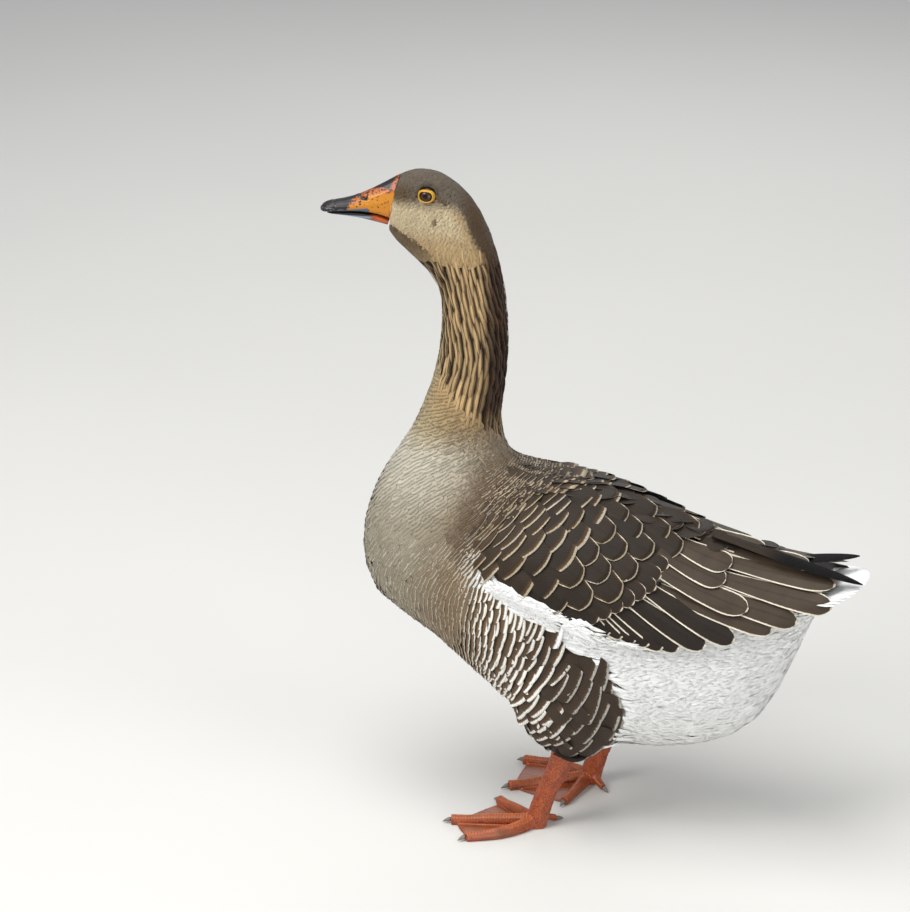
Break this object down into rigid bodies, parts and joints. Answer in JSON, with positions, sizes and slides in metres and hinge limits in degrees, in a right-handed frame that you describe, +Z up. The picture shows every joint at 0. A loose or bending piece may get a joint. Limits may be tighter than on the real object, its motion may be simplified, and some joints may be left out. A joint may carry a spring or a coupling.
{
  "type": "domestic goose",
  "caption": "Life-size still model of a standing grey domestic goose with an orange bill, head turned slightly to its left.",
  "frame": {"origin": "on the floor under the middle of the bird's box", "axes": "+Z up; the goose faces -Y and its left side is +X"},
  "size_m": [0.2302, 0.5826, 0.7065],
  "materials": {
    "horn_bill": "satin horn, yellow-orange with a black ridge and blue-grey cutting edge",
    "neck_feather": "matt furrowed feathers, tan with dark brown grooves",
    "breast_feather": "matt feathers, grey-cream with brown bars",
    "white_feather": "matt loose white feathers",
    "tail_feather": "grey-brown quills with broad white tips",
    "eye_gloss": "wet dark brown eye with a black pupil",
    "wing_feather": "grey-brown feathers with pale cream edges",
    "flank_feather": "dark brown feathers with whitish tips in wavy bars",
    "flight_feather": "satin black quills",
    "leg_skin": "orange-red scaly skin with amber webs",
    "claw_horn": "dull grey-brown horn"
  },
  "bodies": {
    "root": {"abdomen": "white_feather", "bill_lower": "horn_bill", "bill_upper": "horn_bill", "breast": "breast_feather", "claw_left_hind": "claw_horn", "claw_left_inner": "claw_horn", "claw_left_middle": "claw_horn", "claw_left_outer": "claw_horn", "claw_right_hind": "claw_horn", "claw_right_inner": "claw_horn", "claw_right_middle": "claw_horn", "claw_right_outer": "claw_horn", "eye_left": "eye_gloss", "eye_right": "eye_gloss", "foot_left": "leg_skin", "foot_right": "leg_skin", "head": "neck_feather", "neck_lower": "neck_feather", "neck_upper": "neck_feather", "primaries_left": "flight_feather", "primaries_right": "flight_feather", "shank_left": "leg_skin", "shank_right": "leg_skin", "tail": "tail_feather", "thigh_left": "flank_feather", "thigh_right": "flank_feather", "trunk": "breast_feather", "wing_left": "wing_feather", "wing_right": "wing_feather"}
  },
  "joints": []
}
